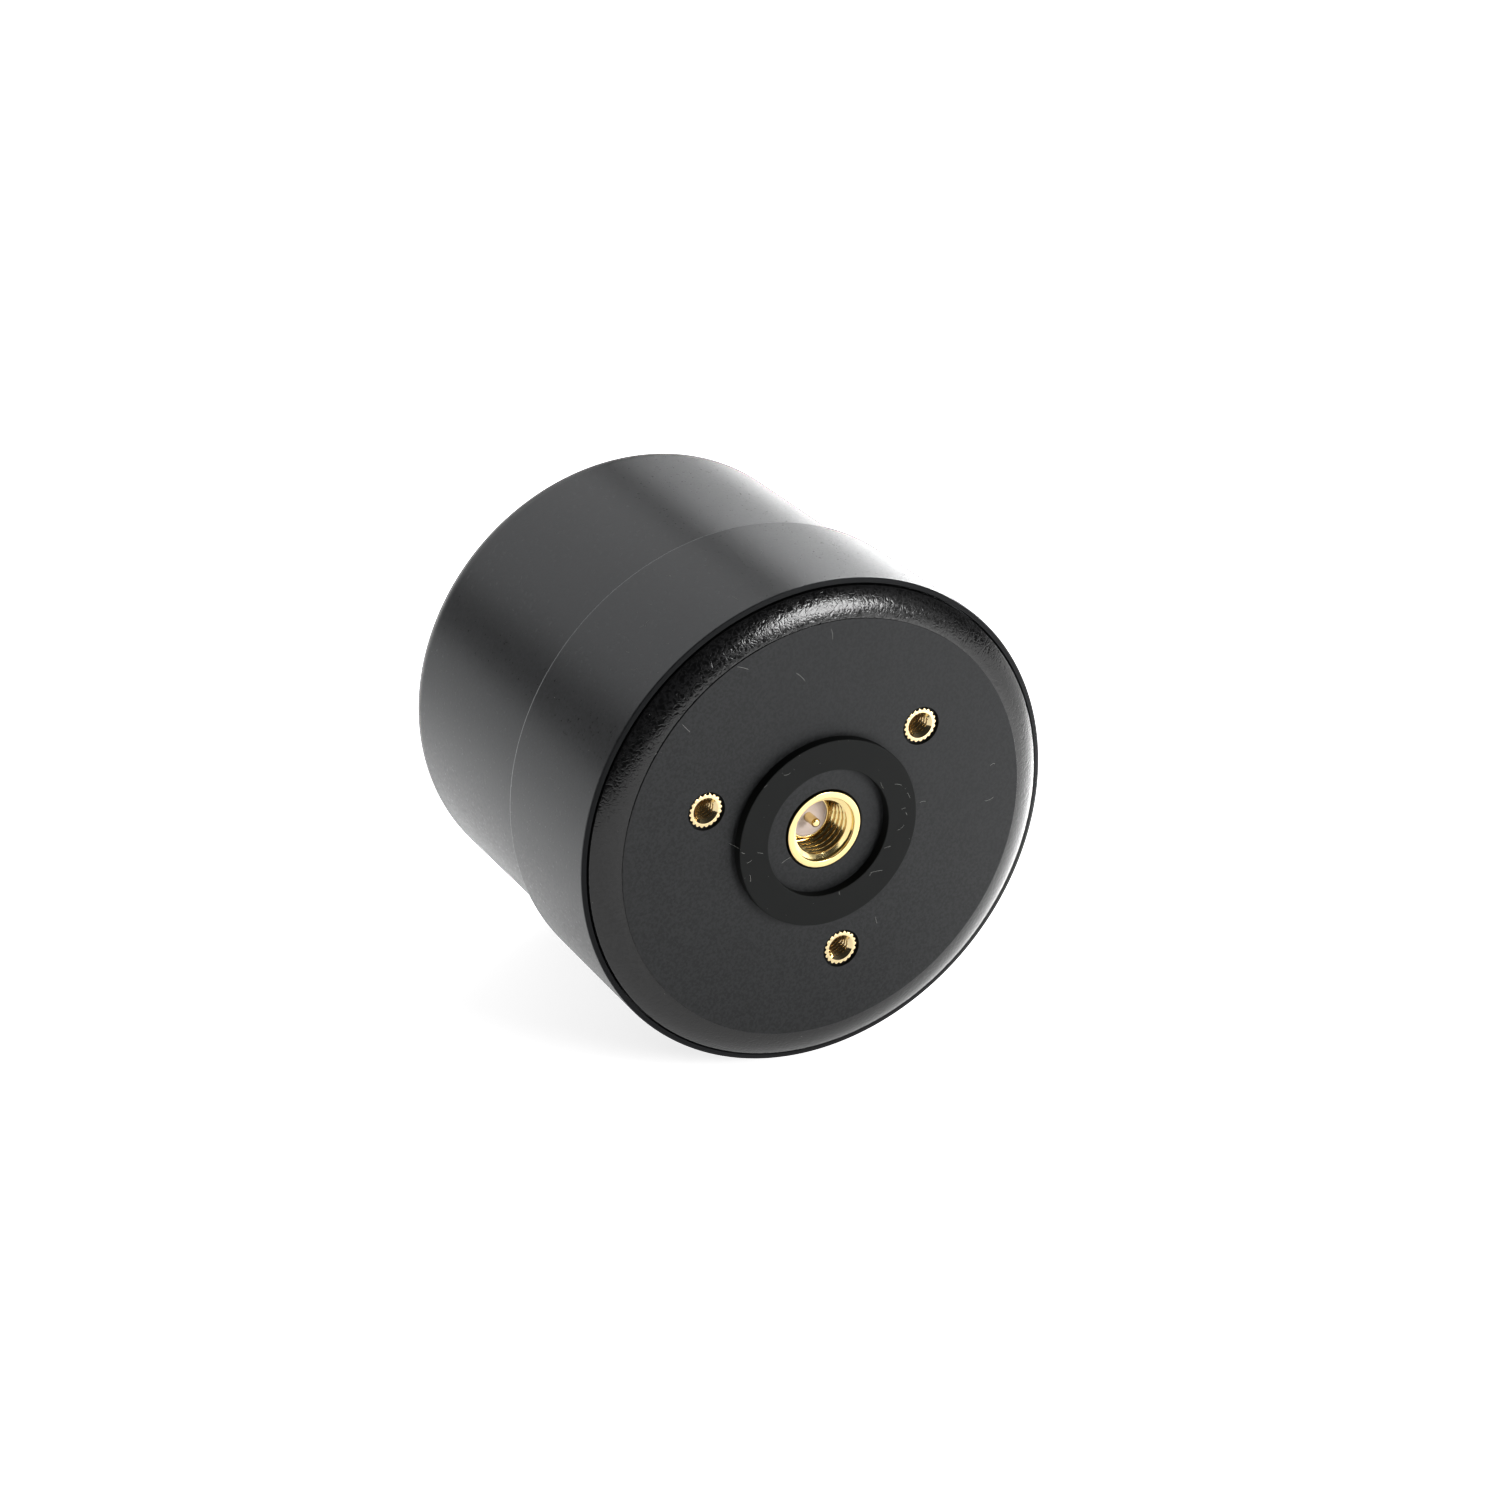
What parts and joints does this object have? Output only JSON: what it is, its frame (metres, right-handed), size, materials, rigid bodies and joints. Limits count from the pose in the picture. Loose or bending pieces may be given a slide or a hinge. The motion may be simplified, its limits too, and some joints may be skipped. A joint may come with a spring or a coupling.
{
  "type": "quadrifilar helix antenna",
  "caption": "Round stepped radome antenna on a bevelled base cover with a threaded coaxial socket, a rubber gasket ring and knurled brass inserts.",
  "frame": {"origin": "on the antenna's axis, in the plane of the gasket's outer face, which is the lowest plane", "axes": "+Z along the axis towards the dome; +X through the first brass insert"},
  "size_m": [0.05, 0.05, 0.0437],
  "materials": {
    "radome_plastic": "satin charcoal with a fine spark grain",
    "cover_plastic": "fine grain, coarser and glossier on the bevel",
    "gasket_rubber": "matt",
    "seal_rubber": "matt",
    "insert_brass": "bright, knurled",
    "connector_gold": "gold plated, bright",
    "connector_ptfe": "waxy",
    "board_laminate": "solder mask",
    "screw_steel": "zinc plated",
    "can_tin": "tinned",
    "chip_epoxy": "moulded",
    "filter_ceramic": "metallised",
    "former_plastic": "moulded",
    "film_polyimide": "polyimide",
    "arm_copper": "etched copper",
    "foam": "open cell"
  },
  "bodies": {
    "root": {"radome": "radome_plastic", "base_cover": "cover_plastic", "gasket_ring": "gasket_rubber", "seal_ring": "seal_rubber", "brass_insert_1": "insert_brass", "brass_insert_2": "insert_brass", "brass_insert_3": "insert_brass", "connector_body": "connector_gold", "connector_insulator": "connector_ptfe", "connector_pin": "connector_gold", "amplifier_board": "board_laminate", "board_screw_1": "screw_steel", "board_screw_2": "screw_steel", "board_screw_3": "screw_steel", "shield_can": "can_tin", "amplifier_chip": "chip_epoxy", "band_filter": "filter_ceramic", "regulator_chip": "chip_epoxy", "helix_former": "former_plastic", "helix_film": "film_polyimide", "helix_arm_1": "arm_copper", "helix_arm_2": "arm_copper", "helix_arm_3": "arm_copper", "helix_arm_4": "arm_copper", "crown_board": "board_laminate", "foam_pad": "foam"}
  },
  "joints": []
}
